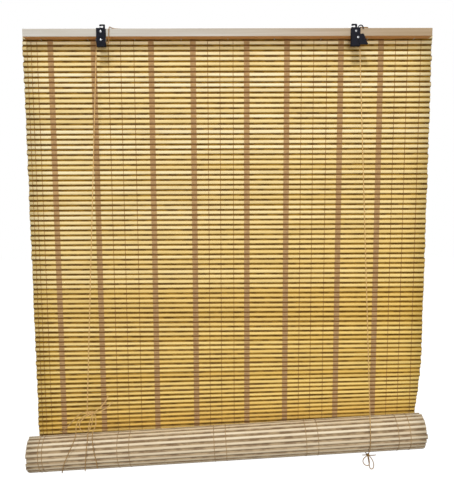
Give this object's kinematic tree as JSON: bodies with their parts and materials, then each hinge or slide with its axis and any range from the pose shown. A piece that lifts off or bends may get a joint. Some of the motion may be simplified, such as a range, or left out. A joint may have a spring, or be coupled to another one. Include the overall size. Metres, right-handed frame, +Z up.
{
  "type": "bamboo roll-up blind",
  "caption": "Woven split-bamboo window blind hung from a wooden head rail by steel pulley hangers, its lower half rolled up and held in slings of cord that lead through a cord lock.",
  "frame": {"origin": "midway between the two hanging eyes, in the middle of the hangers' back sheet", "axes": "+X along the rail to the right as seen from the room, +Y from the room to the wall, +Z up"},
  "size_m": [0.9098, 0.0987, 0.9975],
  "materials": {
    "pine": "planed, unvarnished",
    "bamboo": "natural split bamboo",
    "yarn": "brown woven yarn",
    "cord": "twisted tan cord",
    "black_steel": "satin black",
    "bright_steel": "bright zinc",
    "wire": "plain wire",
    "wheel": "moulded"
  },
  "bodies": {
    "headrail": {"head_rail": "pine", "mat_staples": "wire", "cord_staples": "wire", "hanging_mat": "bamboo", "warp_bands": "yarn", "warp_threads": "yarn", "left_hanger": "black_steel", "left_sheave_pin": "bright_steel", "left_fixing_screw": "bright_steel", "lock_hanger": "black_steel", "lock_fixing_screw": "bright_steel", "lock_arm_pin": "bright_steel", "left_front_cord": "cord", "cross_cord": "cord", "right_front_cord": "cord", "right_back_cord": "cord", "left_back_cord": "cord"},
    "roll_carriage": {"right_roll_sling": "cord", "left_roll_sling": "cord", "left_long_end": "cord", "left_short_end": "cord", "left_slant_end": "cord", "left_loop": "cord", "left_upper_tail": "cord", "left_lower_tail": "cord", "left_knot": "cord", "bow_left_loop": "cord", "bow_right_loop": "cord", "bow_left_end": "cord", "bow_right_end": "cord", "bow_knot": "cord"},
    "roll": {"mat_roll": "bamboo", "bottom_batten": "pine"},
    "left_wheel": {"left_sheave": "wheel"},
    "lock_wheel": {"lock_roller": "wheel"},
    "lock_lever": {"lock_arm": "black_steel"}
  },
  "joints": [
    {"name": "roll_raise", "type": "slide", "parent": "headrail", "child": "roll_carriage", "axis": [0, 0, 1], "range_m": [0, 0.74], "deforming": ["hanging_mat", "warp_bands", "warp_threads", "left_front_cord", "right_front_cord", "left_back_cord", "right_back_cord"]},
    {"name": "roll_turn", "type": "hinge", "parent": "roll_carriage", "child": "roll", "pos_m": [-0.0093, -0.01189, -0.9245], "axis": [0.9985, 0, 0.0555], "range_deg": [-956, 0]},
    {"name": "left_sheave_spin", "type": "hinge", "parent": "headrail", "child": "left_wheel", "pos_m": [-0.272, -0.0046, -0.0286], "axis": [0, 1, 0], "continuous": true},
    {"name": "lock_roller_spin", "type": "hinge", "parent": "headrail", "child": "lock_wheel", "pos_m": [0.272, -0.0046, -0.0115], "axis": [0, 1, 0], "continuous": true},
    {"name": "lock_arm_swing", "type": "hinge", "parent": "headrail", "child": "lock_lever", "pos_m": [0.2765, -0.0046, -0.0249], "axis": [0, 1, 0], "range_deg": [-25, 0]}
  ],
  "couplings": [
    {"joint": "roll_turn", "follows": "roll_raise", "rad_per_m": -22.477}
  ]
}
